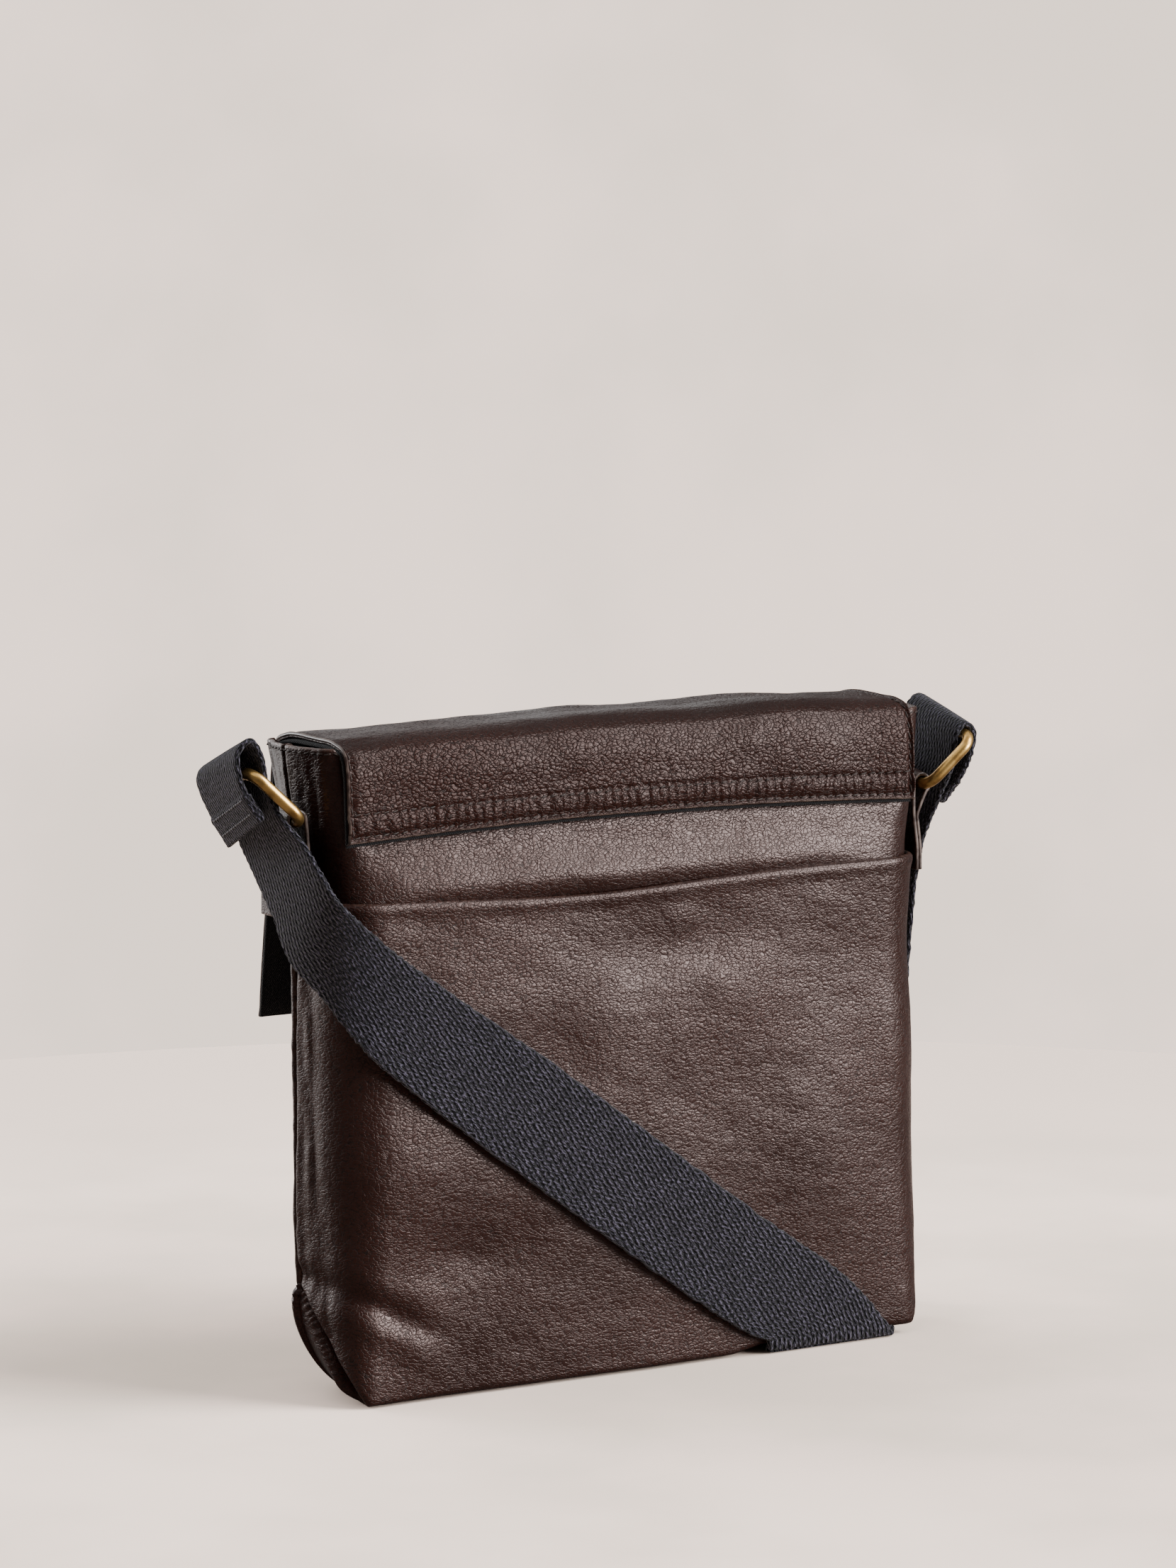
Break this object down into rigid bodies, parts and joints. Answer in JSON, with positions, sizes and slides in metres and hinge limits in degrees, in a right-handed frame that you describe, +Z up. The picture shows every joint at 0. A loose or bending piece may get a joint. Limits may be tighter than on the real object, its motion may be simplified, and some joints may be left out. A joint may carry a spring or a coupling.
{
  "type": "leather crossbody bag",
  "caption": "Small flat flap bag of dark grained leather with a slip pocket on the back, brass side rings and a woven shoulder strap laid across the back.",
  "frame": {"origin": "on the floor under the middle of the bag's base", "axes": "+X to the right seen from the back of the bag, -Y out of the back with the slip pocket, +Y out of the front with the flap, +Z up"},
  "size_m": [0.329, 0.0874, 0.2486],
  "materials": {
    "leather": "pebbled, semi-gloss",
    "lining": "matt cloth",
    "brass": "antique brass",
    "webbing": "coarse woven webbing"
  },
  "bodies": {
    "root": {"back_panel": "leather", "front_panel": "leather", "back_pocket": "leather", "base_panel": "leather", "flap": "leather", "flap_lining": "lining", "ring_left": "brass", "ring_right": "brass", "tab_left": "leather", "tab_right": "leather", "strap": "webbing"}
  },
  "joints": []
}
